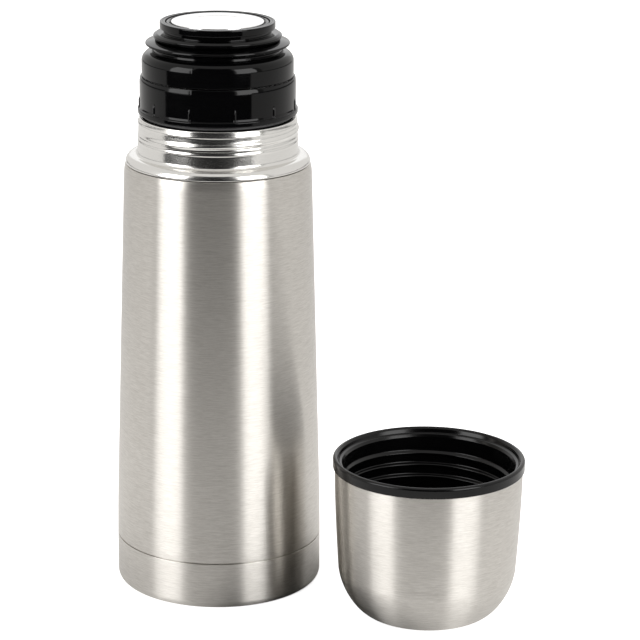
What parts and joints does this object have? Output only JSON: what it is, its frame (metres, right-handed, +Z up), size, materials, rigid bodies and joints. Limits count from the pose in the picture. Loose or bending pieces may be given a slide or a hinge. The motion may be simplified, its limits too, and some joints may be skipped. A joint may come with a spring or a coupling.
{
  "type": "vacuum flask",
  "caption": "Slim double-walled steel vacuum flask with a black push-button screw stopper, and its steel drinking cup standing beside it.",
  "frame": {"origin": "centre of the flat base of the flask, on the surface that it stands on", "axes": "+Z up along the axis of the flask; -Y towards the front, where the cup stands in front of and beside the flask; +X towards the cup"},
  "size_m": [0.1382, 0.0983, 0.1946],
  "materials": {
    "brushed_steel": "brushed round the body, satin",
    "polished_steel": "polished bright",
    "inner_steel": "drawn steel, satin",
    "copper_foil": "thin bright foil",
    "getter_alloy": "dull sintered metal",
    "seal_resin": "matte",
    "gloss_black": "high gloss",
    "satin_black": "satin",
    "disc_metal": "polished disc",
    "silicone": "soft matte",
    "white_plastic": "natural moulded",
    "spring_steel": "drawn wire"
  },
  "bodies": {
    "flask": {"outer_shell": "brushed_steel", "neck_collar": "polished_steel", "inner_liner": "inner_steel", "radiation_shield": "copper_foil", "getter": "getter_alloy", "vacuum_base": "inner_steel", "vacuum_seal": "seal_resin", "base_cover": "brushed_steel"},
    "gasket": {"neck_gasket": "silicone"},
    "stopper": {"stopper_plug": "satin_black", "stopper_skirt": "gloss_black", "stopper_cover": "gloss_black", "button_collar": "gloss_black", "stem_guide": "satin_black", "cam_sleeve": "white_plastic", "return_spring": "spring_steel"},
    "button": {"push_button": "gloss_black", "button_disc": "disc_metal", "valve_stem": "white_plastic", "valve_disc": "satin_black", "valve_seal": "silicone"},
    "latch": {"latch_rotor": "white_plastic"},
    "cup": {"cup_shell": "brushed_steel", "cup_liner": "satin_black"}
  },
  "joints": [
    {"name": "stopper_rise", "type": "slide", "parent": "flask", "child": "gasket", "axis": [0, 0, 1], "range_m": [0, 0.0064]},
    {"name": "stopper_turn", "type": "hinge", "parent": "gasket", "child": "stopper", "pos_m": [0, 0, 0.1628], "axis": [0, 0, 1], "range_deg": [0, 540]},
    {"name": "button_press", "type": "slide", "parent": "stopper", "child": "button", "axis": [0, 0, -1], "range_m": [0, 0.0035], "stiffness_N_per_m": 400, "springref_m": -0.005, "deforming": ["return_spring"]},
    {"name": "latch_turn", "type": "hinge", "parent": "button", "child": "latch", "pos_m": [0, 0, 0.184], "axis": [0, 0, 1], "range_deg": [0, 46]},
    {"name": "cup_lift", "type": "slide", "parent": "flask", "child": "cup", "axis": [0, 0, 1], "range_m": [0, 0.2]}
  ],
  "couplings": [
    {"joint": "stopper_rise", "follows": "stopper_turn", "m_per_rad": 0.00066845},
    {"joint": "latch_turn", "follows": "button_press", "rad_per_m": 224.4}
  ]
}
